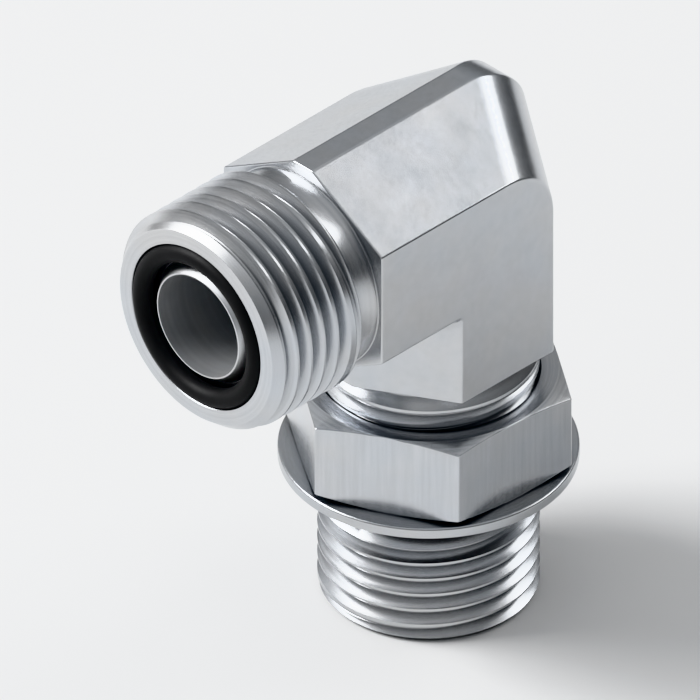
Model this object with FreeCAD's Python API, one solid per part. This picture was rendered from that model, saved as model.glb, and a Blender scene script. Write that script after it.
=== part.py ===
import FreeCAD, Part
import math
import os

# Hydraulic elbow adapter, 90 degrees: an O-ring face-seal port on one arm and an
# adjustable straight-thread stud with locknut, back-up washer and O-ring on the other.
# Frame: origin at the centre of the stud's end face, +Z up the stud's axis,
# the face-seal port points along -Y, +X completes a right-handed frame.
# All lengths are in millimetres.

V = FreeCAD.Vector

# ---- driving dimensions -------------------------------------------------------
# forged elbow block, both arms with the same hexagon section
hex_af = 19.05              # across the two flats at +X and -X (3/4 inch)
hex_tip = 10.34             # axis to the truncated tips of the hexagon
arm_axis_z = 40.10          # height of the face-seal arm's axis above the stud end
block_end_y = -15.12        # end face of the horizontal arm's hexagon
block_end_z = arm_axis_z - 14.47   # end face of the vertical arm's hexagon
outer_corner_r = 6.35       # rounding round the outside of the bend
inner_corner_r = 0.60       # rounding in the inside of the bend

# face-seal port, 13/16-16 thread, for 1/2 inch tube
fs_face_y = -27.89          # sealing face
fs_face_r = 9.11            # outer edge of the sealing face
fs_major_r = 10.24          # thread crest
fs_lead_y = -26.47          # where the lead chamfer reaches the crest
fs_thread_end_y = -18.28    # where the thread's inner end chamfer starts
fs_shoulder_y = -17.87      # inner shoulder of the thread
fs_shoulder_r = 9.86
fs_neck_r = 9.14            # relief between the thread and the block
groove_r = 7.70             # outer wall of the O-ring groove
groove_depth = 1.35
groove_floor_r = 5.70       # inner edge of the groove's floor
lip_r = 4.92                # outer edge of the lip's narrow land
lip_drop = 0.25             # the inner lip stands this much below the face

# through passage
bore_r = 4.78               # from the face-seal end
stud_bore_r = 4.95          # from the stud end
drill_past_axis = 3.20      # full diameter past the crossing axis
drill_point_half_deg = 59.0
bore_break = 0.25           # edge break at the stud end

# adjustable stud end, 3/4-16 thread
st_major_r = 9.44           # thread crest
st_end_r = 8.93             # end face outer edge
st_lead_z = 0.59            # lead chamfer height
st_low_top_z = 9.35         # lower thread ends, run-out cone starts
under_r = 8.20              # undercut that holds washer and O-ring
under_low_z = 10.59
under_top_z = 16.20
st_up_low_z = 17.44         # upper thread starts
st_up_top_z = 24.10         # upper thread ends
neck_r = 8.60               # neck under the block
neck_z = 24.94

# locknut
nut_af = 22.225             # 7/8 inch
nut_low_z = 14.25
nut_top_z = 22.11
nut_face_r = 11.04          # chamfer circle on both faces
nut_chamfer_deg = 15.4
nut_bore_r = 9.50
nut_sink_r = 9.58           # small countersink at both faces
nut_sink_depth = 0.08
nut_turn_deg = 3.64         # rest angle of the nut's hexagon

# back-up washer
washer_r = 12.83
washer_hole_r = 8.30
washer_low_z = 13.26

# O-rings
fs_ring_section = 1.78
port_ring_section = 2.21

out_dir = "parts"
os.makedirs(out_dir, exist_ok=True)


def face_from(points):
    wire = Part.makePolygon(points + [points[0]])
    return Part.Face(wire)


def revolve_z(profile):
    """profile: list of (r, z), closed, turned about the Z axis."""
    f = face_from([V(r, 0, z) for r, z in profile])
    return f.revolve(V(0, 0, 0), V(0, 0, 1), 360)


def revolve_y(profile):
    """profile: list of (r, y), closed, turned about the horizontal arm's axis."""
    f = face_from([V(r, y, arm_axis_z) for r, y in profile])
    return f.revolve(V(0, 0, arm_axis_z), V(0, 1, 0), 360)


# ---- elbow block --------------------------------------------------------------
# Both arms have the same section: a hexagon with flats at +-X and its tips cut off
# at hex_tip. The block is the chunk that holds both arms, less the waste on the
# outside of each sloped flat and less the open corner inside the bend.
half = hex_af / 2.0
side = half / math.sqrt(3.0)
c30, s30 = math.cos(math.radians(30.0)), 0.5
span = 60.0


def corner_frame(direction, n1, n2):
    t = V(direction).normalize()
    n1 = V(n1).normalize()
    n2 = V(n2).normalize()
    b = (n1 + n2).normalize()
    return t, n1, n2, b, n1.dot(b)


def prism(edges, t, before, after):
    face = Part.Face(Part.Wire(edges))
    face.translate(t * (-before))
    return face.extrude(t * (before + after))


def line(a, b):
    return Part.LineSegment(a, b).toShape()


def waste(p0, direction, n1, n2, r, before, after, eps=0.5):
    """What lies between an outside edge and the cylinder that rounds it."""
    t, n1, n2, b, c = corner_frame(direction, n1, n2)
    axis = p0 - b * (r / c)
    t1, mid, t2 = axis + n1 * r, axis + b * r, axis + n2 * r
    a1, a2 = t1 + n1 * eps, t2 + n2 * eps
    top = axis + b * ((r + eps) / c)
    return prism([line(t1, a1), line(a1, top), line(top, a2), line(a2, t2),
                  Part.Arc(t2, mid, t1).toShape()], t, before, after)


def open_corner(p0, direction, n1, n2, r, length):
    """The open wedge in front of two flats that meet inside the bend, its edge
    rounded so that the flats run into each other with radius r."""
    t, n1, n2, b, c = corner_frame(direction, n1, n2)
    e1 = n2 - n1 * n2.dot(n1)
    e2 = n1 - n2 * n1.dot(n2)
    e1.normalize()
    e2.normalize()
    axis = p0 + b * (r / c)
    t1, mid, t2 = axis - n1 * r, axis - b * r, axis - n2 * r
    f1, f2 = t1 + e1 * length, t2 + e2 * length
    far = p0 + (e1 + e2) * length
    return prism([line(t1, f1), line(f1, far), line(far, f2), line(f2, t2),
                  Part.Arc(t2, mid, t1).toShape()], t, span, span)


def slope_waste(sx, n, p0, t):
    """Everything outside one sloped flat: n is its outward normal."""
    e = V(t).cross(n)
    e.normalize()
    a = p0 - e * span
    b = p0 + e * span
    return prism([line(a, b), line(b, b + n * span), line(b + n * span, a + n * span),
                  line(a + n * span, a)], V(t), span, span)


block = Part.makeBox(hex_af, hex_tip - block_end_y, arm_axis_z + hex_tip - block_end_z,
                     V(-half, block_end_y, block_end_z))
for sx in (1, -1):
    foot = V(sx * half, side, arm_axis_z + side)
    block = block.cut(slope_waste(sx, V(sx * s30, 0, c30), foot, V(0, 1, 0)))
    block = block.cut(slope_waste(sx, V(sx * s30, c30, 0), foot, V(0, 0, 1)))

# outside of the bend: the top edge, and the ridges where the sloped flats meet
block = block.cut(waste(V(0, hex_tip, arm_axis_z + hex_tip), V(1, 0, 0),
                        V(0, 0, 1), V(0, 1, 0), outer_corner_r, 6.0, 6.0))
for sx in (1, -1):
    n_top = V(sx * s30, 0, c30)
    n_back = V(sx * s30, c30, 0)
    ridge = n_top.cross(n_back)
    if ridge.x * sx < 0:
        ridge = ridge * -1.0
    foot = V(sx * half, side, arm_axis_z + side)
    block = block.cut(waste(foot, ridge, n_top, n_back, outer_corner_r, 12.5, 6.0))

# inside of the bend
block = block.cut(open_corner(V(0, -hex_tip, arm_axis_z - hex_tip), V(1, 0, 0),
                              V(0, 0, -1), V(0, -1, 0), inner_corner_r, 30.0))
for sx in (1, -1):
    n_low = V(sx * s30, 0, -c30)
    n_front = V(sx * s30, -c30, 0)
    foot = V(sx * half, -side, arm_axis_z - side)
    block = block.cut(open_corner(foot, n_low.cross(n_front), n_low, n_front,
                                  inner_corner_r, 40.0))
block = block.removeSplitter()
print("block solids", len(block.Solids), "faces", len(block.Faces), block.isValid())

# ---- face-seal port -----------------------------------------------------------
port = revolve_y([
    (0.0, fs_face_y), (fs_face_r, fs_face_y), (fs_major_r, fs_lead_y),
    (fs_major_r, fs_thread_end_y), (fs_shoulder_r, fs_shoulder_y),
    (fs_neck_r, fs_shoulder_y), (fs_neck_r, block_end_y), (fs_neck_r, block_end_y + 2.0),
    (0.0, block_end_y + 2.0)])

# ---- stud ---------------------------------------------------------------------
stud = revolve_z([
    (0.0, 0.0), (st_end_r, 0.0), (st_major_r, st_lead_z), (st_major_r, st_low_top_z),
    (under_r, under_low_z), (under_r, under_top_z), (st_major_r, st_up_low_z),
    (st_major_r, st_up_top_z), (neck_r, neck_z), (neck_r, block_end_z + 2.0),
    (0.0, block_end_z + 2.0)])

body = block.fuse(port).fuse(stud)

# ---- passage ------------------------------------------------------------------
tip = bore_r / math.tan(math.radians(drill_point_half_deg))
stud_tip = stud_bore_r / math.tan(math.radians(drill_point_half_deg))
bore_v = revolve_z([
    (0.0, -1.0), (stud_bore_r + bore_break + 1.0, -1.0), (stud_bore_r + bore_break, 0.0),
    (stud_bore_r, bore_break), (stud_bore_r, arm_axis_z + drill_past_axis),
    (0.0, arm_axis_z + drill_past_axis + stud_tip)])
bore_h = revolve_y([
    (0.0, fs_face_y - 1.0), (bore_r, fs_face_y - 1.0), (bore_r, drill_past_axis),
    (0.0, drill_past_axis + tip)])
lip_y = fs_face_y + lip_drop
floor_y = fs_face_y + groove_depth
groove = revolve_y([
    (0.0, fs_face_y - 1.0), (groove_r, fs_face_y - 1.0), (groove_r, floor_y),
    (groove_floor_r, floor_y), (lip_r, lip_y), (0.0, lip_y)])
body = body.cut(bore_v).cut(bore_h).cut(groove).removeSplitter()

# ---- O-ring in the face --------------------------------------------------------
s = fs_ring_section / 2.0
fs_ring_r = groove_r - s - 0.01
fs_ring = Part.makeTorus(fs_ring_r, s, V(0, floor_y - s, arm_axis_z), V(0, 1, 0))

# ---- O-ring on the stud --------------------------------------------------------
s = port_ring_section / 2.0
port_ring = Part.makeTorus(under_r + s + 0.01, s, V(0, 0, washer_low_z - s - 0.01), V(0, 0, 1))

# ---- back-up washer -------------------------------------------------------------
washer = Part.makeCylinder(washer_r, nut_low_z - washer_low_z, V(0, 0, washer_low_z))
washer = washer.cut(Part.makeCylinder(washer_hole_r, 5.0, V(0, 0, washer_low_z - 1.0)))

# ---- locknut ---------------------------------------------------------------------
h = nut_af / 2.0
corner = nut_af / math.sqrt(3.0)
pts = []
for i in range(6):
    a = math.radians(60.0 * i + 30.0 - nut_turn_deg - 90.0 + 90.0)
    pts.append(V(corner * math.cos(a), corner * math.sin(a), nut_low_z))
nut = face_from(pts).extrude(V(0, 0, nut_top_z - nut_low_z))
t = math.tan(math.radians(nut_chamfer_deg))
far = 20.0
drop = (far - nut_face_r) * t
cap = revolve_z([
    (0.0, nut_low_z), (nut_face_r, nut_low_z), (far, nut_low_z + drop),
    (far, nut_top_z - drop), (nut_face_r, nut_top_z), (0.0, nut_top_z)])
nut = nut.common(cap)
nut_hole = revolve_z([
    (0.0, nut_low_z - 1.0), (nut_sink_r, nut_low_z - 1.0), (nut_sink_r, nut_low_z),
    (nut_bore_r, nut_low_z + nut_sink_depth), (nut_bore_r, nut_top_z - nut_sink_depth),
    (nut_sink_r, nut_top_z), (nut_sink_r, nut_top_z + 1.0), (0.0, nut_top_z + 1.0)])
nut = nut.cut(nut_hole)

# ---- write -------------------------------------------------------------------------
nodes = {
    "elbow_body": body,
    "face_seal_oring": fs_ring,
    "locknut": nut,
    "backup_washer": washer,
    "port_oring": port_ring,
}
for name, shape in nodes.items():
    solids = shape.Solids
    print(name, "solids", len(solids), "valid", shape.isValid(),
          "volume_mm3", round(shape.Volume, 2))
    solids[0].exportStep(os.path.join(out_dir, name + ".step"))
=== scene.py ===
import math

import bmesh
import bpy
import numpy as np
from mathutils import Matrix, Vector


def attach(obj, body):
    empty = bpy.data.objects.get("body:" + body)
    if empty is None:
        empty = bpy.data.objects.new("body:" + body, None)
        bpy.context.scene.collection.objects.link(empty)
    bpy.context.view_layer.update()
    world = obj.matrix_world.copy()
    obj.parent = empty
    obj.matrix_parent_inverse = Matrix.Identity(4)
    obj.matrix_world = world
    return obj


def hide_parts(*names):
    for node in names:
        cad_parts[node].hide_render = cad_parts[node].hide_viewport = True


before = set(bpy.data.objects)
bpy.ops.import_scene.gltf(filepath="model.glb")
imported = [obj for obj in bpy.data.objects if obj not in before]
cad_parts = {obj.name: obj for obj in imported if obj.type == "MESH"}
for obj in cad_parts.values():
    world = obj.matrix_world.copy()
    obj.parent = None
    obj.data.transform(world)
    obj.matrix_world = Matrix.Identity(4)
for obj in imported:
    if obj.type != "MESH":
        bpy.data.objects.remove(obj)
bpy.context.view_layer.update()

# Hydraulic elbow adapter. Every length here is in millimetres until a piece is made, and
# the pieces are in metres. +Z runs up the stud, the face-seal port points along -Y.

STEPS = 240                 # steps round every turned surface
PITCH = 1.5875              # both threads, 16 to the inch

AXIS_Z = 40.10              # height of the face-seal arm's axis
HEX_HALF = 9.525            # axis to the flats at +X and -X
HEX_TIP = 10.34             # axis to the cut-off tips
END_Y = 15.12               # end face of the horizontal arm
END_Z = 25.63               # end face of the vertical arm
OUTER_R = 6.35              # outside of the bend
INNER_R = 0.60              # inside of the bend
EDGE_FLAT = 0.30            # edge radius between wrench flat and slope
EDGE_TIP = 0.16             # reach of the soft edge beside the narrow flat
EDGE_END = 0.15             # edge radius round the two end faces

# ------------------------------------------------------------------ mesh helpers


def build(verts, faces):
    me = bpy.data.meshes.new("part")
    me.from_pydata([tuple(v) for v in verts], [], faces)
    me.update()
    return me


def combine(a, b, operation):
    """Boolean of two closed meshes, as a new mesh."""
    oa = bpy.data.objects.new("work_a", a)
    ob = bpy.data.objects.new("work_b", b)
    for o in (oa, ob):
        bpy.context.scene.collection.objects.link(o)
    mod = oa.modifiers.new("cut", "BOOLEAN")
    mod.operation = operation
    mod.solver = "MANIFOLD"
    mod.object = ob
    graph = bpy.context.evaluated_depsgraph_get()
    out = bpy.data.meshes.new_from_object(oa.evaluated_get(graph))
    bpy.data.objects.remove(oa)
    bpy.data.objects.remove(ob)
    bpy.data.meshes.remove(a)
    bpy.data.meshes.remove(b)
    return out


def soften(points, radii, step=18.0):
    """Rounds the corners of an open outline; radii gives one radius for each point."""
    out = [points[0]]
    for i in range(1, len(points) - 1):
        r = radii[i]
        p = np.array(points[i], float)
        a = np.array(points[i - 1], float) - p
        b = np.array(points[i + 1], float) - p
        la, lb = np.linalg.norm(a), np.linalg.norm(b)
        a, b = a / la, b / lb
        turn = math.pi - math.acos(max(-1.0, min(1.0, float(a @ b))))
        if r <= 0.0 or turn < 1e-3:
            out.append(tuple(p))
            continue
        cut = min(r * math.tan(turn / 2), 0.45 * la, 0.45 * lb)
        r = cut / math.tan(turn / 2)
        mid = (a + b) / np.linalg.norm(a + b)
        centre = p + mid * (r / math.cos(turn / 2))
        n = max(2, round(math.degrees(turn) / step))
        t0 = p + a * cut - centre
        t1 = p + b * cut - centre
        for k in range(n + 1):
            f = k / n
            w = math.sin(turn)
            d = t0 * (math.sin((1 - f) * turn) / w) + t1 * (math.sin(f * turn) / w)
            out.append(tuple(centre + d))
    out.append(points[-1])
    return out


def lathe(profile, steps=STEPS):
    """Closed solid from (radius, height) points, first and last on the axis."""
    verts, rings = [], []
    for r, a in profile:
        if r < 1e-9:
            rings.append([len(verts)])
            verts.append((0.0, 0.0, a))
        else:
            rings.append(list(range(len(verts), len(verts) + steps)))
            for i in range(steps):
                t = 2 * math.pi * i / steps
                verts.append((r * math.cos(t), r * math.sin(t), a))
    faces = []
    for lo, hi in zip(rings, rings[1:]):
        for i in range(steps):
            j = (i + 1) % steps
            if len(lo) == 1:
                faces.append((lo[0], hi[j], hi[i]))
            elif len(hi) == 1:
                faces.append((lo[i], lo[j], hi[0]))
            else:
                faces.append((lo[i], lo[j], hi[j], hi[i]))
    return build(verts, faces)


def helix_rod(rows, r_plain, start, turns, lift, steps=STEPS):
    """Closed rod with a right-hand helical groove. rows are (offset, radius) over one
    pitch from a crest's centre. lift(height of the groove's centre) raises the groove,
    so that it runs out, and the first and last turns are plain."""
    count = len(rows)
    total = turns * count
    verts = []
    for i in range(steps):
        t = 2 * math.pi * i / steps
        c, s = math.cos(t), math.sin(t)
        for m in range(total):
            k, j = divmod(m, count)
            turn = k + i / steps
            offset, r = rows[j]
            if turn < 1.05 or turn > turns - 1.05:
                r = r_plain
            else:
                r = r + lift(start + PITCH * (turn + 0.5))
            verts.append((r * c, r * s, start + PITCH * turn + offset))
    base, top = len(verts), len(verts) + steps
    for z in (start - 0.5, start + PITCH * (turns + 1) + 0.5):
        for i in range(steps):
            t = 2 * math.pi * i / steps
            verts.append((r_plain * math.cos(t), r_plain * math.sin(t), z))

    def v(i, m):
        return i * total + m

    faces = []
    for i in range(steps - 1):
        faces.append((base + i, base + i + 1, v(i + 1, 0), v(i, 0)))
        for m in range(total - 1):
            faces.append((v(i, m), v(i + 1, m), v(i + 1, m + 1), v(i, m + 1)))
        faces.append((v(i, total - 1), v(i + 1, total - 1), top + i + 1, top + i))
    last = steps - 1
    for m in range(total - count - 1):
        faces.append((v(last, m), v(0, m + count), v(0, m + count + 1), v(last, m + 1)))
    faces.append((base + last, base) + tuple(v(0, m) for m in range(count + 1))
                 + (v(last, 0),))
    faces.append((v(last, total - count - 1), v(0, total - 1), top, top + last)
                 + tuple(v(last, m) for m in range(total - 1, total - count - 1, -1)))
    faces.append(tuple(base + i for i in range(steps - 1, -1, -1)))
    faces.append(tuple(top + i for i in range(steps)))
    return build(verts, faces)


def male_rows(major):
    """Unified thread with a rounded root, a little proud of the crest, so that the
    turned blank cuts the crest's flat."""
    root_r = 0.229
    half = PITCH / 2
    proud = 0.10
    edge = PITCH / 16 - proud * math.tan(math.radians(30))
    centre_depth = (half - PITCH / 16) / math.tan(math.radians(30)) - 2 * root_r
    rows = [(edge, major + proud)]
    for k in range(-3, 4):
        a = math.radians(20.0 * k)
        rows.append((half + root_r * math.sin(a), major - centre_depth - root_r * math.cos(a)))
    rows.append((PITCH - edge, major + proud))
    return rows


def ramp(x, a, b):
    return max(0.0, min(1.0, (x - a) / (b - a)))


def to_port(me):
    """From a frame whose +Z is the port's axis to the part's frame."""
    co = np.empty(len(me.vertices) * 3)
    me.vertices.foreach_get("co", co)
    co = co.reshape(-1, 3)
    out = np.stack([co[:, 0], -co[:, 2], AXIS_Z + co[:, 1]], axis=1)
    me.vertices.foreach_set("co", out.ravel())
    me.update()
    return me


def dress(me, plane_area=3.0, plane_angle=13.0, other_angle=25.0):
    """Shades a finished mesh: flats stay flat, round surfaces and small edge radii are
    smooth, and real corners are sharp."""
    bm = bmesh.new()
    bm.from_mesh(me)
    bmesh.ops.remove_doubles(bm, verts=bm.verts, dist=1e-5)
    bmesh.ops.dissolve_degenerate(bm, dist=1e-5, edges=bm.edges)
    bm.normal_update()
    bm.faces.index_update()
    corner = 0
    for f in bm.faces:
        for l in f.loops:
            l.index = corner
            corner += 1
    n_faces = len(bm.faces)
    area = [f.calc_area() for f in bm.faces]
    region = [-1] * n_faces
    region_area = []
    limit = math.cos(math.radians(0.25))
    for f in bm.faces:
        if region[f.index] >= 0:
            continue
        n0 = f.normal.copy()
        stack, total = [f], 0.0
        region[f.index] = len(region_area)
        while stack:
            g = stack.pop()
            total += area[g.index]
            for e in g.edges:
                for h in e.link_faces:
                    if region[h.index] < 0 and h.normal.dot(n0) > limit:
                        region[h.index] = len(region_area)
                        stack.append(h)
        region_area.append(total)
    plane = [region_area[region[i]] >= plane_area for i in range(n_faces)]
    cos_plane = math.cos(math.radians(plane_angle))
    cos_other = math.cos(math.radians(other_angle))
    for e in bm.edges:
        if len(e.link_faces) != 2:
            e.smooth = False
            continue
        f, g = e.link_faces
        d = f.normal.dot(g.normal)
        e.smooth = d > (cos_plane if plane[f.index] or plane[g.index] else cos_other)
    for f in bm.faces:
        f.smooth = True
    normals = {}
    for v in bm.verts:
        loops = list(v.link_loops)
        index = {l.face.index: k for k, l in enumerate(loops)}
        parent = list(range(len(loops)))

        def find(x):
            while parent[x] != x:
                x = parent[x]
            return x

        for e in v.link_edges:
            if e.smooth and len(e.link_faces) == 2:
                a = index.get(e.link_faces[0].index)
                b = index.get(e.link_faces[1].index)
                if a is not None and b is not None:
                    parent[find(a)] = find(b)
        fans = {}
        for k in range(len(loops)):
            fans.setdefault(find(k), []).append(loops[k])
        for fan in fans.values():
            flats = {}
            for l in fan:
                if plane[l.face.index]:
                    flats.setdefault(region[l.face.index], l.face.normal)
            total = Vector((0.0, 0.0, 0.0))
            if flats:
                for n in flats.values():
                    total += n
            else:
                for l in fan:
                    total += l.face.normal * l.calc_angle()
            total.normalize()
            for l in fan:
                normals[l.index] = total
    order = []
    for f in bm.faces:
        for l in f.loops:
            order.append(normals.get(l.index, f.normal).copy())
    out = bpy.data.meshes.new("part")
    bm.to_mesh(out)
    bm.free()
    bpy.data.meshes.remove(me)
    out.normals_split_custom_set([tuple(n) for n in order])
    return out


def piece(name, me, body, node, material):
    """Puts a finished mesh, in millimetres, into the scene in metres."""
    co = np.empty(len(me.vertices) * 3, dtype=np.float32)
    me.vertices.foreach_get("co", co)
    me.vertices.foreach_set("co", co * 0.001)
    me.update()
    me.name = name
    me.materials.clear()
    me.materials.append(material)
    obj = bpy.data.objects.new(name, me)
    bpy.context.scene.collection.objects.link(obj)
    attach(obj, body)
    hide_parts(node)
    return obj


# ------------------------------------------------------------------ the forged block

SLOPE = math.tan(math.radians(30.0))
CORNER = HEX_HALF / math.sqrt(3.0)         # where the flat meets the slope
FULL = CORNER + HEX_HALF * SLOPE           # where the slopes would meet


def section_rows():
    """Half of the hexagon's outline from +X to -X: (kind, x, h, nx, nh, u)."""
    rows = []
    cut = EDGE_FLAT * math.tan(math.radians(30.0))
    cx, ch = HEX_HALF - EDGE_FLAT, CORNER - cut
    for k in range(5):
        a = math.radians(15.0 * k)
        rows.append(("slope", cx + EDGE_FLAT * math.cos(a), ch + EDGE_FLAT * math.sin(a),
                     math.cos(a), math.sin(a), 0.0))
    tip_x = (FULL - HEX_TIP) / SLOPE
    for k in range(4):
        u = k / 3.0
        leg = EDGE_TIP
        ax, ah = tip_x + leg * math.cos(math.radians(30)), HEX_TIP - leg * 0.5
        bx = tip_x - leg
        x = (1 - u) ** 2 * ax + 2 * u * (1 - u) * tip_x + u * u * bx
        h = (1 - u) ** 2 * ah + (2 * u * (1 - u) + u * u) * HEX_TIP
        a = math.radians(60.0 + 30.0 * u)
        rows.append(("tip", x, h, math.cos(a), math.sin(a), u))
    return rows + [(k, -x, h, -nx, nh, u) for k, x, h, nx, nh, u in reversed(rows)]


def bend_columns(radius, sign, count):
    """For each place round the bend: the offset from the sharp corner on the slopes,
    and the point and X where the narrow flat's rounding meets the slope's."""
    out = []
    psi0 = math.acos(math.sqrt(0.625))
    for k in range(count + 1):
        a = math.radians(90.0 * k / count)
        d = radius * (math.sin(a) - math.cos(a))
        psi = a - math.pi / 4
        if psi < -psi0:
            ry, rz = d, 0.0
        elif psi > psi0:
            ry, rz = 0.0, -d
        else:
            g = radius * (math.cos(psi) - 1.0 / math.cos(psi0))
            w = 0.912871 * g
            ry = w + radius * math.sin(psi) / math.sqrt(2)
            rz = w - radius * math.sin(psi) / math.sqrt(2)
        fy = -radius + radius * math.sin(a)
        fz = -radius + radius * math.cos(a)
        tip = ((FULL - HEX_TIP) + sign * (rz - fz)) / SLOPE
        out.append((ry, rz, fy, fz, tip))
    return out


def block_mesh(bend=24):
    rows = section_rows()
    half = len(rows)
    outer = bend_columns(OUTER_R, 1.0, bend)
    inner = bend_columns(INNER_R, -1.0, bend)
    breaks = [(EDGE_END * (1 - math.sin(math.radians(b))), EDGE_END * (1 - math.cos(math.radians(b))))
              for b in (90.0, 67.5, 45.0, 22.5, 0.0)]

    def column_points(upper):
        s = 1.0 if upper else -1.0
        bends = outer if upper else inner
        grid = []
        for kind, x, h, nx, nh, u in rows:
            line = []
            for along, off in breaks:
                line.append((x - nx * off, -END_Y + along, AXIS_Z + s * (h - nh * off)))
            for ry, rz, fy, fz, tip in bends:
                if kind == "slope":
                    line.append((x, s * h + ry, AXIS_Z + s * h + rz))
                else:
                    side = 1.0 if x > 0 else -1.0
                    leg1, leg2 = EDGE_TIP * 1.118034, EDGE_TIP
                    cy, cz = s * HEX_TIP + fy, s * HEX_TIP + fz
                    w0, w1, w2 = (1 - u) ** 2, 2 * u * (1 - u), u * u
                    px = w0 * (tip + 0.774597 * leg1) + w1 * tip + w2 * (tip - leg2)
                    drop = w0 * 0.447214 * leg1
                    line.append((side * px, cy - s * drop, AXIS_Z + cz - s * drop))
            for along, off in reversed(breaks):
                line.append((x - nx * off, s * (h - nh * off), END_Z + along))
            grid.append(line)
        return grid

    cycle = column_points(True) + list(reversed(column_points(False)))
    cols = len(cycle[0])
    verts = [p for line in cycle for p in line]
    faces = []
    n = len(cycle)
    for e in range(n):
        f = (e + 1) % n
        for c in range(cols - 1):
            faces.append((e * cols + c, e * cols + c + 1, f * cols + c + 1, f * cols + c))
    faces.append(tuple(e * cols for e in range(n)))
    faces.append(tuple(e * cols + cols - 1 for e in range(n - 1, -1, -1)))
    me = build(verts, faces)
    bm = bmesh.new()
    bm.from_mesh(me)
    bmesh.ops.recalc_face_normals(bm, faces=bm.faces)
    bm.to_mesh(me)
    bm.free()
    return me


# ------------------------------------------------------------------ the face-seal port

def port_mesh():
    blank = soften(
        [(0.0, 13.0), (9.32, 13.0), (9.32, 15.10), (9.2515, 15.1251), (9.1839, 15.1639),
         (9.1515, 15.2151), (9.14, 15.27), (9.14, 17.87), (9.86, 17.87), (10.24, 18.28),
         (10.24, 26.47), (9.11, 27.89), (0.0, 27.89)],
        [0, 0, 0, 0, 0, 0, 0, 0.12, 0.05, 0.06, 0.06, 0.09, 0])
    start = 22.5856 - 7 * PITCH
    rod = helix_rod(male_rows(10.24), 11.4, start, 13,
                    lambda a: 1.02 * ramp(a, 19.04, 18.45))
    return to_port(combine(rod, lathe(blank), "INTERSECT"))


# ------------------------------------------------------------------ the stud

STUD_START = 5.2334 - 5 * PITCH


def stud_mesh():
    blank = soften(
        [(0.0, 0.0), (8.93, 0.0), (9.44, 0.59), (9.44, 9.35), (8.20, 10.59), (8.20, 16.20),
         (9.44, 17.44), (9.44, 24.10), (8.60, 24.94), (8.60, 25.43), (8.6153, 25.5065),
         (8.6586, 25.5714), (8.7235, 25.6147), (8.86, 25.66), (8.86, 27.8), (0.0, 27.8)],
        [0, 0.06, 0.08, 0.08, 0.35, 0.35, 0.08, 0.08, 0.15, 0, 0, 0, 0, 0, 0, 0])

    def lift(z):
        return 1.02 * max(ramp(z, 1.15, 0.34), ramp(z, 23.09, 23.83))

    rod = helix_rod(male_rows(9.44), 10.6, STUD_START, 21, lift)
    return combine(rod, lathe(blank), "INTERSECT")


def passage_cuts():
    tip_v = 43.30 + 4.95 / math.tan(math.radians(59.0))
    tip_h = -3.20 - 4.78 / math.tan(math.radians(59.0))
    stud_bore = lathe([(0.0, -1.0), (6.20, -1.0), (5.20, 0.0), (4.95, 0.25), (4.95, 43.30),
                       (0.0, tip_v)], 144)
    port_bore = to_port(lathe([(0.0, tip_h), (4.78, -3.20), (4.78, 28.9), (0.0, 28.9)], 144))
    groove = to_port(lathe(soften(
        [(0.0, 27.64), (4.92, 27.64), (5.70, 26.54), (7.70, 26.54), (7.70, 27.83),
         (7.76, 27.89), (8.76, 28.89), (0.0, 28.89)],
        [0, 0.03, 0.12, 0.12, 0, 0, 0, 0])))
    return [stud_bore, port_bore, groove]


def body_mesh():
    me = combine(block_mesh(), port_mesh(), "UNION")
    me = combine(me, stud_mesh(), "UNION")
    for cut in passage_cuts():
        me = combine(me, cut, "DIFFERENCE")
    return me


# ------------------------------------------------------------------ the locknut

NUT_LOW, NUT_TOP = 14.25, 22.11
NUT_AF = 22.225


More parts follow.
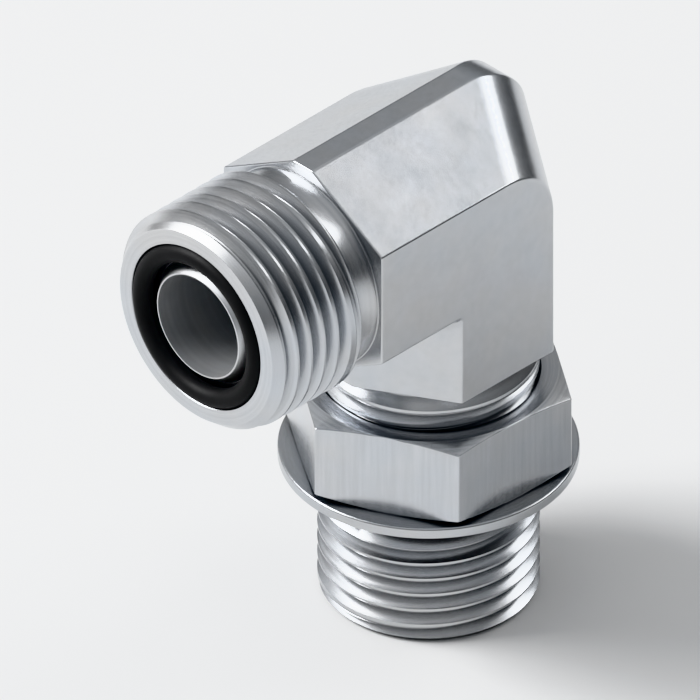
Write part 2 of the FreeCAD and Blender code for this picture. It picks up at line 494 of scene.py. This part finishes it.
def nut_mesh():
    half = NUT_AF / 2
    edge = 0.28
    outline = []
    for i in range(6):
        corner = math.radians(60.0 * i + 30.0 - 3.64)
        centre = (half - edge) / math.cos(math.radians(30.0))
        cx, cy = centre * math.cos(corner), centre * math.sin(corner)
        for k in range(5):
            a = corner + math.radians(-30.0 + 15.0 * k)
            outline.append((cx + edge * math.cos(a), cy + edge * math.sin(a)))
        here = np.array(outline[-1])
        a = math.radians(60.0 * (i + 1) + 30.0 - 3.64)
        first = np.array([centre * math.cos(a) + edge * math.cos(a - math.radians(30)),
                          centre * math.sin(a) + edge * math.sin(a - math.radians(30))])
        for k in range(1, 30):
            p = here + (first - here) * (k / 30.0)
            outline.append((float(p[0]), float(p[1])))
    face_r, slope = 11.04, math.tan(math.radians(15.4))
    soft = 0.13
    rings = []

    def ring_set(sign, flat_z):
        sets = []
        sets.append([(face_r * x / math.hypot(x, y), face_r * y / math.hypot(x, y), flat_z)
                     for x, y in outline])
        for u in (0.0, 1 / 3, 2 / 3, 1.0):
            ring = []
            for x, y in outline:
                r = math.hypot(x, y)
                zc = flat_z - sign * (r - face_r) * slope
                leg = min(soft, 0.6 * (r - face_r))
                a = np.array([r - leg, zc + sign * leg * slope])
                c = np.array([r, zc])
                b = np.array([r, zc - sign * soft])
                q = (1 - u) ** 2 * a + 2 * u * (1 - u) * c + u * u * b
                ring.append((x / r * q[0], y / r * q[0], q[1]))
            sets.append(ring)
        return sets

    rings = ring_set(-1.0, NUT_LOW) + list(reversed(ring_set(1.0, NUT_TOP)))
    n = len(outline)
    verts = [p for ring in rings for p in ring]
    faces = []
    for k in range(len(rings) - 1):
        for i in range(n):
            j = (i + 1) % n
            faces.append((k * n + i, k * n + j, (k + 1) * n + j, (k + 1) * n + i))
    faces.append(tuple(range(n - 1, -1, -1)))
    faces.append(tuple((len(rings) - 1) * n + i for i in range(n)))
    me = build(verts, faces)

    rows = [(0.0418, 9.60), (0.6019, 8.63), (PITCH - 0.6019, 8.63), (PITCH - 0.0418, 9.60)]
    cutter = helix_rod(rows, 8.63, STUD_START + 7 * PITCH, 11, lambda z: 0.0)
    me = combine(me, cutter, "DIFFERENCE")
    # the countersink below, and above it a relief that clears the stud's run-out
    below = [(0.0, NUT_LOW - 1.0), (10.58, NUT_LOW - 1.0), (9.58, NUT_LOW),
             (8.55, NUT_LOW + 1.03), (0.0, NUT_LOW + 1.03)]
    above = [(0.0, NUT_TOP - 2.80), (8.55, NUT_TOP - 2.80), (9.50, NUT_TOP - 1.85),
             (9.50, NUT_TOP - 0.08), (9.58, NUT_TOP), (10.58, NUT_TOP + 1.0), (0.0, NUT_TOP + 1.0)]
    for outline in (below, above):
        me = combine(me, lathe(outline), "DIFFERENCE")
    return me


# ------------------------------------------------------------------ washer and O-rings

def ring_lathe(profile, steps=STEPS):
    """Closed ring from a closed (radius, height) outline, given anticlockwise."""
    n = len(profile)
    verts = []
    for i in range(steps):
        t = 2 * math.pi * i / steps
        for r, z in profile:
            verts.append((r * math.cos(t), r * math.sin(t), z))
    faces = []
    for i in range(steps):
        j = (i + 1) % steps
        for k in range(n):
            m = (k + 1) % n
            faces.append((i * n + k, j * n + k, j * n + m, i * n + m))
    return build(verts, faces)


def closed_soften(points, radii, step=18.0):
    n = len(points)
    out = []
    for i in range(n):
        trio = [points[i - 1], points[i], points[(i + 1) % n]]
        out += soften(trio, [0, radii[i], 0], step)[1:-1]
    return out


def washer_mesh():
    return ring_lathe(closed_soften(
        [(8.30, 13.26), (12.83, 13.26), (12.83, 14.25), (8.30, 14.25)],
        [0.06, 0.07, 0.22, 0.12], 15.0))


def oring_mesh(major, section, ridge):
    """O-ring with the fine mould line on its inside and outside."""
    s = section / 2
    pts = []
    count = 72
    for k in range(count):
        a = 2 * math.pi * k / count
        off = min(abs(math.degrees(math.sin(a))), 90.0)
        r = s + ridge * math.exp(-(off / 4.0) ** 2)
        pts.append((major + r * math.cos(a), r * math.sin(a)))
    return ring_lathe(pts, 180)


def shift_z(me, dz):
    co = np.empty(len(me.vertices) * 3)
    me.vertices.foreach_get("co", co)
    co = co.reshape(-1, 3)
    co[:, 2] += dz
    me.vertices.foreach_set("co", co.ravel())
    me.update()
    return me


# ------------------------------------------------------------------ materials


class Shader:
    """Short hand for one material's nodes. Coordinates are the piece's own, in metres."""

    def __init__(self, name):
        self.material = bpy.data.materials.new(name)
        self.material.use_nodes = True
        self.tree = self.material.node_tree
        self.surface = self.tree.nodes["Principled BSDF"]
        self.place = self.node("ShaderNodeTexCoord").outputs["Object"]

    def node(self, kind, **settings):
        n = self.tree.nodes.new(kind)
        for key, value in settings.items():
            setattr(n, key, value)
        return n

    def put(self, socket, value):
        if isinstance(value, bpy.types.NodeSocket):
            self.tree.links.new(value, socket)
        elif isinstance(value, (tuple, list)) and len(value) == 3 and socket.type == "RGBA":
            socket.default_value = (*value, 1.0)
        else:
            socket.default_value = value

    def math(self, operation, a, b=0.0, c=0.0, clamp=False):
        n = self.node("ShaderNodeMath", operation=operation, use_clamp=clamp)
        for socket, value in zip(n.inputs, (a, b, c)):
            self.put(socket, value)
        return n.outputs[0]

    def vector(self, operation, a, b=(0.0, 0.0, 0.0), output=0):
        n = self.node("ShaderNodeVectorMath", operation=operation)
        self.put(n.inputs[0], a)
        self.put(n.inputs[1], b)
        return n.outputs[output]

    def stretch(self, scale, place=None):
        n = self.node("ShaderNodeMapping")
        self.put(n.inputs["Vector"], self.place if place is None else place)
        n.inputs["Scale"].default_value = scale
        return n.outputs[0]

    def noise(self, scale, detail=3.0, roughness=0.55, place=None, distortion=0.0):
        n = self.node("ShaderNodeTexNoise")
        self.put(n.inputs["Vector"], self.place if place is None else place)
        n.inputs["Scale"].default_value = scale
        n.inputs["Detail"].default_value = detail
        n.inputs["Roughness"].default_value = roughness
        n.inputs["Distortion"].default_value = distortion
        return n.outputs["Fac"]

    def span(self, value, a, b, lo=0.0, hi=1.0):
        n = self.node("ShaderNodeMapRange", clamp=True)
        self.put(n.inputs["Value"], value)
        for key, number in (("From Min", a), ("From Max", b), ("To Min", lo), ("To Max", hi)):
            n.inputs[key].default_value = number
        return n.outputs["Result"]

    def mix(self, factor, a, b, blend="MIX"):
        n = self.node("ShaderNodeMix", data_type="RGBA", blend_type=blend)
        self.put(n.inputs[0], factor)
        self.put(n.inputs[6], a)
        self.put(n.inputs[7], b)
        return n.outputs[2]

    def tone(self, colour, value, amount):
        """Lightens and darkens a colour with a noise value that lies round 0.5."""
        level = self.span(value, 0.25, 0.75, 1.0 - amount, 1.0 + amount)
        grey = self.node("ShaderNodeCombineColor")
        for k in range(3):
            self.put(grey.inputs[k], level)
        return self.mix(1.0, colour, grey.outputs[0], "MULTIPLY")

    def bump(self, height, distance, normal=None):
        n = self.node("ShaderNodeBump")
        n.inputs["Strength"].default_value = 1.0
        n.inputs["Distance"].default_value = distance
        self.put(n.inputs["Height"], height)
        if normal is not None:
            self.put(n.inputs["Normal"], normal)
        return n.outputs[0]

    def recess(self, distance, samples=8):
        n = self.node("ShaderNodeAmbientOcclusion", samples=samples)
        n.inputs["Distance"].default_value = distance
        return n.outputs["AO"]


def plate(name, base=(0.575, 0.587, 0.605), rough=0.25, peel=0.6, turned=None, streaks=None,
          recess=1.1, deep=0.85, lines=3200.0, metal=1.0):
    """Bright zinc plate. turned = (axis, point) for the marks of a turning tool round
    that axis; streaks = scale of the drawn lines along the bar; recess and deep = width in
    mm and strength of the painted shade in roots and corners, where an occlusion node
    darkens the base colour and also makes the plate rougher."""
    s = Shader(name)
    cloud = s.noise(85.0, 4.0, 0.6)
    patch = s.noise(420.0, 3.0, 0.55, distortion=0.3)
    grain = s.noise(3300.0, 1.0, 0.5)
    fine = 0.35 if turned is not None else 1.0
    warm = tuple(c * k for c, k in zip(base, (1.016, 1.0, 0.978)))
    cool = tuple(c * k for c, k in zip(base, (0.962, 0.985, 1.010)))
    tint = s.mix(s.span(cloud, 0.33, 0.67), cool, warm)
    shade = s.span(patch, 0.30, 0.72, 0.970, 1.012)
    grey = s.node("ShaderNodeCombineColor")
    for k in range(3):
        s.put(grey.inputs[k], shade)
    tint = s.mix(1.0, tint, grey.outputs[0], "MULTIPLY")
    satin = s.noise(1300.0, 2.0, 0.5)
    if turned is None and streaks is None:
        tint = s.tone(tint, satin, 0.028)
    # painted shade: an occlusion node marks roots, corners and passages; below it darkens the base
    # colour there and raises the roughness (a duller plate)
    hidden = s.recess(recess * 0.001)
    painted_shade_and_dull_mask = s.span(hidden, 0.25, 0.95, 1.0, 0.0)
    s.surface.inputs["Metallic"].default_value = metal

    value = s.math("ADD", rough - 0.07, s.math("MULTIPLY", cloud, 0.08))
    value = s.math("ADD", value, s.math("MULTIPLY", patch, 0.06))
    value = s.math("ADD", value, s.math("MULTIPLY", painted_shade_and_dull_mask, 0.16))
    value = s.math("ADD", value, s.math("MULTIPLY", s.math("SUBTRACT", grain, 0.5), 0.10 * fine))

    normal = s.bump(s.noise(140.0, 1.0, 0.5), 0.00005 * peel)
    normal = s.bump(satin, 0.0000036 * peel, normal)
    if turned is None:
        normal = s.bump(grain, 0.0000006, normal)
    if turned is not None:
        axis, point = turned
        away = s.vector("SUBTRACT", s.place, point)
        along = s.vector("DOT_PRODUCT", away, axis, 1)
        flat = s.node("ShaderNodeVectorMath", operation="MULTIPLY")
        s.put(flat.inputs[0], away)
        flat.inputs[1].default_value = tuple(1.0 - abs(c) for c in axis)
        radius = s.vector("LENGTH", flat.outputs[0], output=1)
        run = s.math("ADD", radius, s.math("MULTIPLY", along, 0.43))
        line = s.node("ShaderNodeTexNoise", noise_dimensions="1D")
        s.put(line.inputs["W"], run)
        line.inputs["Scale"].default_value = lines
        line.inputs["Detail"].default_value = 1.5
        line.inputs["Roughness"].default_value = 0.6
        normal = s.bump(line.outputs["Fac"], 0.0000030, normal)
        tint = s.tone(tint, line.outputs["Fac"], 0.07)
        value = s.math("ADD", value, s.math("MULTIPLY",
                       s.math("SUBTRACT", line.outputs["Fac"], 0.5), 0.12))
        s.surface.inputs["Anisotropic"].default_value = 0.55
        around = s.vector("CROSS_PRODUCT", flat.outputs[0], axis)
        s.put(s.surface.inputs["Tangent"], s.vector("NORMALIZE", around))
    if streaks is not None:
        line = s.noise(1.0, 4.0, 0.65, place=s.stretch(streaks))
        normal = s.bump(line, 0.000009, normal)
        tint = s.tone(tint, line, 0.085)
        value = s.math("ADD", value, s.math("MULTIPLY", s.math("SUBTRACT", line, 0.5), 0.16))
    # painted shade: the base colour is mixed towards a dark grey where the occlusion mask is high
    painted_shade_colour = s.mix(0.72, tint, (0.10, 0.104, 0.112))
    s.put(s.surface.inputs["Base Color"], s.mix(s.math("MULTIPLY", painted_shade_and_dull_mask, deep), tint, painted_shade_colour))
    if rough < 0.27:
        value = s.math("MINIMUM", value, 0.268)
    else:
        value = s.math("MAXIMUM", value, 0.285)
    s.put(s.surface.inputs["Roughness"], value)
    s.put(s.surface.inputs["Normal"], normal)
    return s.material


def rubber(name, seed):
    s = Shader(name)
    place = s.vector("ADD", s.place, (seed, seed * 0.7, -seed))
    bloom = s.noise(260.0, 5.0, 0.65, place=place)
    speck = s.noise(3800.0, 3.0, 0.6, place=place)
    s.put(s.surface.inputs["Base Color"],
          s.mix(s.span(bloom, 0.42, 0.74), (0.0055, 0.0055, 0.0058), (0.0120, 0.0120, 0.0126)))
    value = s.math("ADD", 0.42, s.math("MULTIPLY", bloom, 0.20))
    s.put(s.surface.inputs["Roughness"],
          s.math("ADD", value, s.math("MULTIPLY", speck, 0.10)))
    s.surface.inputs["Specular IOR Level"].default_value = 0.32
    normal = s.bump(s.noise(900.0, 3.0, 0.5, place=place), 0.000010)
    s.put(s.surface.inputs["Normal"], s.bump(speck, 0.0000030, normal))
    return s.material


PORT_POINT = (0.0, 0.0, AXIS_Z * 0.001)
forged = plate("plate_block", rough=0.245, peel=0.62)
port_steel = plate("plate_port", rough=0.235, peel=0.35, turned=((0.0, 1.0, 0.0), PORT_POINT))
stud_steel = plate("plate_stud", rough=0.235, peel=0.35,
                   turned=((0.0, 0.0, 1.0), (0.0, 0.0, 0.0)))
# the passages keep a weaker painted shade, spread over 4 mm, on a less metallic base
bore_port = plate("plate_passage_port", base=(0.56, 0.568, 0.58), rough=0.46, peel=0.3,
                  turned=((0.0, 1.0, 0.0), PORT_POINT), recess=4.0, deep=0.25, lines=2600.0, metal=0.7)
bore_stud = plate("plate_passage_stud", base=(0.56, 0.568, 0.58), rough=0.46, peel=0.3,
                  turned=((0.0, 0.0, 1.0), (0.0, 0.0, 0.0)), recess=4.0, deep=0.25, lines=2600.0,
                  metal=0.7)
# painted light: the lip inside the O-ring groove gets a lighter base and less painted shade than the
# port, to lift it out of the groove's shade
lip_steel_painted_light = plate("plate_lip_painted_light", base=(0.64, 0.65, 0.665), rough=0.36, peel=0.3,
                  turned=((0.0, 1.0, 0.0), PORT_POINT), recess=0.4, deep=0.4)
nut_side = plate("plate_nut_flats", rough=0.25, peel=0.7, streaks=(2700.0, 2700.0, 85.0),
                 recess=0.6, deep=0.6)
# painted light and shade: the nut's turned faces and bore get a darker copy of the plate and its
# chamfer a lighter copy, so that the chamfer's edge stands out
nut_faces_painted_shade = plate("plate_nut_faces_painted_shade", base=(0.52, 0.53, 0.548), rough=0.24, peel=0.35,
                   turned=((0.0, 0.0, 1.0), (0.0, 0.0, 0.0)))
nut_chamfer_painted_light = plate("plate_nut_chamfer_painted_light", base=(0.64, 0.65, 0.665), rough=0.25, peel=0.35,
                  turned=((0.0, 0.0, 1.0), (0.0, 0.0, 0.0)), deep=0.6)
washer_steel = plate("plate_washer", base=(0.55, 0.56, 0.575), rough=0.25, peel=0.8,
                     turned=((0.0, 0.0, 1.0), (0.0, 0.0, 0.0)))
face_rubber = rubber("rubber_face_ring", 0.31)
port_rubber = rubber("rubber_port_ring", 1.73)


def assign(obj, materials, choose):
    """One material for each face; choose takes the face's centre and normal in mm."""
    me = obj.data
    me.materials.clear()
    for m in materials:
        me.materials.append(m)
    for poly in me.polygons:
        poly.material_index = choose(poly.center * 1000.0, poly.normal)


def body_zone(c, n):
    r_stud = math.hypot(c.x, c.y)
    r_port = math.hypot(c.x, c.z - AXIS_Z)
    if c.z < 30.0 and r_stud < 5.3 and n.x * c.x + n.y * c.y < -0.2 * r_stud:
        return 4
    if c.y < -9.0 and r_port < 4.95 and n.x * c.x + n.z * (c.z - AXIS_Z) < -0.2 * r_port:
        return 3
    # the lip inside the O-ring groove, which takes the lightened plate (painted light)
    if c.y < -26.2 and r_port < 5.75:
        return 5
    if c.y < -END_Y - 0.004:
        return 1
    if c.z < END_Z - 0.004:
        return 2
    inside = -END_Y + 0.01 < c.y < 7.0 and END_Z + 0.01 < c.z < 47.0
    if inside and r_port < 5.0 and abs(c.x) < 5.0:
        return 3 if r_stud > 4.97 or c.z > 43.4 and r_port < 4.79 else 4
    if inside and r_stud < 4.97:
        return 4
    return 0


def nut_zone(c, n):
    # zone 1, the turned faces and bore, takes the darker copy (painted shade); zone 2, the chamfer,
    # takes the lighter copy (painted light)
    if math.hypot(c.x, c.y) < 9.75 or abs(n.z) > 0.985:
        return 1
    if abs(n.z) > 0.6:
        return 2
    return 0


# ------------------------------------------------------------------ pieces

body = piece("elbow_body_made", dress(body_mesh()), "elbow", "elbow_body", forged)
assign(body, [forged, port_steel, stud_steel, bore_port, bore_stud, lip_steel_painted_light], body_zone)
nut = piece("locknut_made", dress(nut_mesh()), "nut", "locknut", nut_side)
assign(nut, [nut_side, nut_faces_painted_shade, nut_chamfer_painted_light], nut_zone)
washer = piece("backup_washer_made", dress(washer_mesh()), "washer", "backup_washer",
               washer_steel)
face_ring = piece("face_seal_oring_made", dress(to_port(shift_z(oring_mesh(6.80, 1.78, 0.01), 27.43))),
                  "elbow", "face_seal_oring", face_rubber)
port_ring = piece("port_oring_made", dress(shift_z(oring_mesh(9.315, 2.21, 0.02), 12.145)),
                  "elbow", "port_oring", port_rubber)

# ------------------------------------------------------------------ floor, light, camera

floor_mesh = bpy.data.meshes.new("floor")
s = 2.5
floor_mesh.from_pydata([(-s, -s, 0), (s, -s, 0), (s, s, 0), (-s, s, 0)], [], [(0, 1, 2, 3)])
floor = bpy.data.objects.new("floor", floor_mesh)
bpy.context.scene.collection.objects.link(floor)
paper = Shader("floor_paper")
paper.put(paper.surface.inputs["Base Color"],
          paper.mix(paper.noise(30.0, 4.0), (0.80, 0.80, 0.80), (0.83, 0.83, 0.83)))
paper.surface.inputs["Roughness"].default_value = 0.75
paper.surface.inputs["Specular IOR Level"].default_value = 0.2
floor_mesh.materials.append(paper.material)

world = bpy.data.worlds.new("studio")
bpy.context.scene.world = world
world.use_nodes = True
sky = world.node_tree
direction = sky.nodes.new("ShaderNodeTexCoord")
split = sky.nodes.new("ShaderNodeSeparateXYZ")
sky.links.new(direction.outputs["Generated"], split.inputs[0])
rise = sky.nodes.new("ShaderNodeMapRange")
rise.inputs["From Min"].default_value = -0.05
rise.inputs["From Max"].default_value = 0.95
rise.inputs["To Min"].default_value = 0.10
rise.inputs["To Max"].default_value = 0.64
sky.links.new(split.outputs["Z"], rise.inputs["Value"])
side = sky.nodes.new("ShaderNodeVectorMath")
side.operation = "DOT_PRODUCT"
side.inputs[1].default_value = (-0.34, -0.30, 0.0)
sky.links.new(direction.outputs["Generated"], side.inputs[0])
lean = sky.nodes.new("ShaderNodeMath")
lean.operation = "ADD"
lean.inputs[1].default_value = 1.0
sky.links.new(side.outputs["Value"], lean.inputs[0])
glow = sky.nodes.new("ShaderNodeMath")
glow.operation = "MULTIPLY"
sky.links.new(rise.outputs["Result"], glow.inputs[0])
sky.links.new(lean.outputs[0], glow.inputs[1])
sky.links.new(glow.outputs[0], sky.nodes["Background"].inputs["Strength"])
sky.nodes["Background"].inputs["Color"].default_value = (0.96, 0.98, 1.0, 1)


def softbox(name, where, target, size, power):
    light = bpy.data.lights.new(name, "AREA")
    light.shape = "RECTANGLE"
    light.size, light.size_y = size
    light.energy = power
    o = bpy.data.objects.new(name, light)
    bpy.context.scene.collection.objects.link(o)
    o.location = where
    o.rotation_mode = "QUATERNION"
    o.rotation_quaternion = (Vector(target) - Vector(where)).to_track_quat("-Z", "Y")
    return o


softbox("key", (-0.975, -0.85, 1.055), (0, 0, 0.03), (0.80, 0.80), 32.0)
softbox("back", (0.40, 1.25, 1.205), (0, 0, 0.03), (1.00, 0.40), 5.6)

cam_data = bpy.data.cameras.new("camera")
cam_data.type = "ORTHO"
cam_data.ortho_scale = 0.059327
cam_data.clip_start, cam_data.clip_end = 0.01, 10.0
cam = bpy.data.objects.new("camera", cam_data)
bpy.context.scene.collection.objects.link(cam)
to_camera = Vector((1, -1, 1)).normalized()
right = Vector((1, 1, 0)).normalized()
up = Vector((-1, 1, 2)).normalized()
px = 0.059327 / 700
middle = Vector((0, 0, AXIS_Z * 0.001)) + right * (-78.54 * px) + up * (-157.0 * px)
cam.location = middle + to_camera * 0.4
cam.rotation_mode = "QUATERNION"
cam.rotation_quaternion = (-to_camera).to_track_quat("-Z", "Y")
bpy.context.scene.camera = cam

bpy.context.scene.view_settings.view_transform = "Khronos PBR Neutral"
